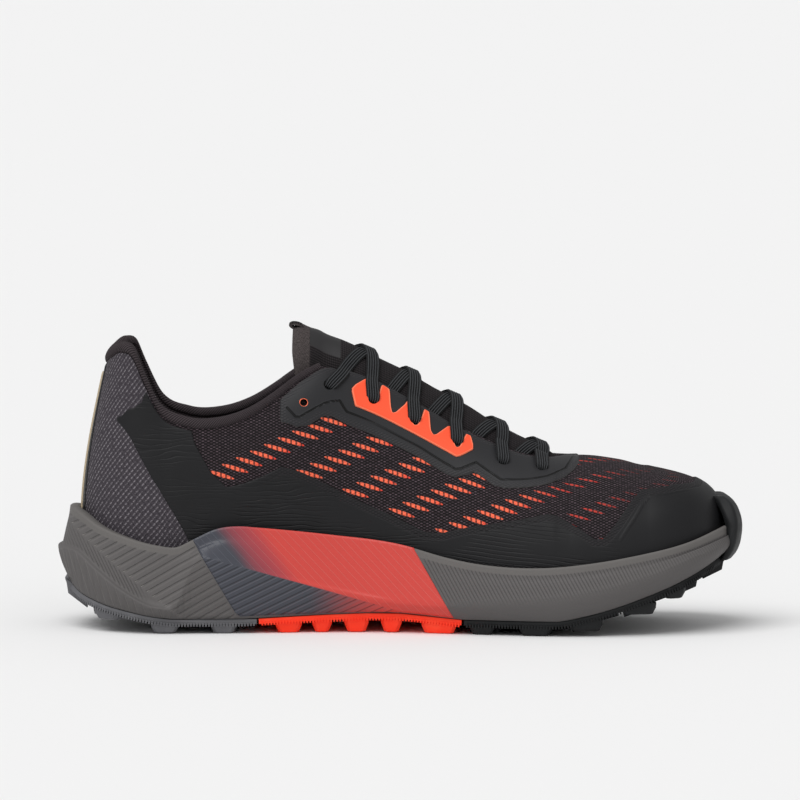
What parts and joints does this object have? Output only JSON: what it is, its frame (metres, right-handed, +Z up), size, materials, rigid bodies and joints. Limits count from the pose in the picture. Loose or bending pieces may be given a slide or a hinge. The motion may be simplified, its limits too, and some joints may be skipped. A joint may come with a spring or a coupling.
{
  "type": "trail running shoe",
  "caption": "Low left trail running shoe with a knitted upper, smooth toe and side overlays, flat laces, a thick foam midsole and a lugged rubber outsole.",
  "frame": {"origin": "on the floor, under the middle of the shoe's length and width", "axes": "+X from heel to toe, +Y to the outer side of the left foot, +Z up"},
  "size_m": [0.3002, 0.1094, 0.1349],
  "materials": {
    "black_rubber": "matt moulded rubber",
    "grey_rubber": "matt moulded rubber",
    "orange_rubber": "smooth moulded rubber",
    "foam": "moulded foam with fine moulded grooves",
    "support_film": "glossy film that fades from grey-blue to coral",
    "lining": "soft knitted lining",
    "knit": "dark knit with rows of coral dashes",
    "smooth_film": "smooth black film with fine embossed lines",
    "grey_mesh": "grey mesh with light flecks",
    "cream_trim": "smooth cream trim",
    "dark_film": "satin dark grey film",
    "guide_film": "satin coral film",
    "collar_knit": "padded ribbed knit",
    "tongue_knit": "brushed padded knit",
    "lace": "flat woven lace"
  },
  "bodies": {
    "root": {"collar": "collar_knit", "eyestay": "dark_film", "heel_panel_lateral": "grey_mesh", "heel_panel_medial": "grey_mesh", "heel_rib": "cream_trim", "heel_strip": "smooth_film", "insole": "lining", "lace_guide_lateral": "guide_film", "lace_guide_medial": "guide_film", "laces": "lace", "midsole": "foam", "mudguard": "smooth_film", "outsole_arch": "orange_rubber", "outsole_forefoot": "black_rubber", "outsole_heel": "grey_rubber", "support_film": "support_film", "toe_bumper": "black_rubber", "tongue": "tongue_knit", "tongue_loop": "tongue_knit", "upper": "knit"}
  },
  "joints": []
}
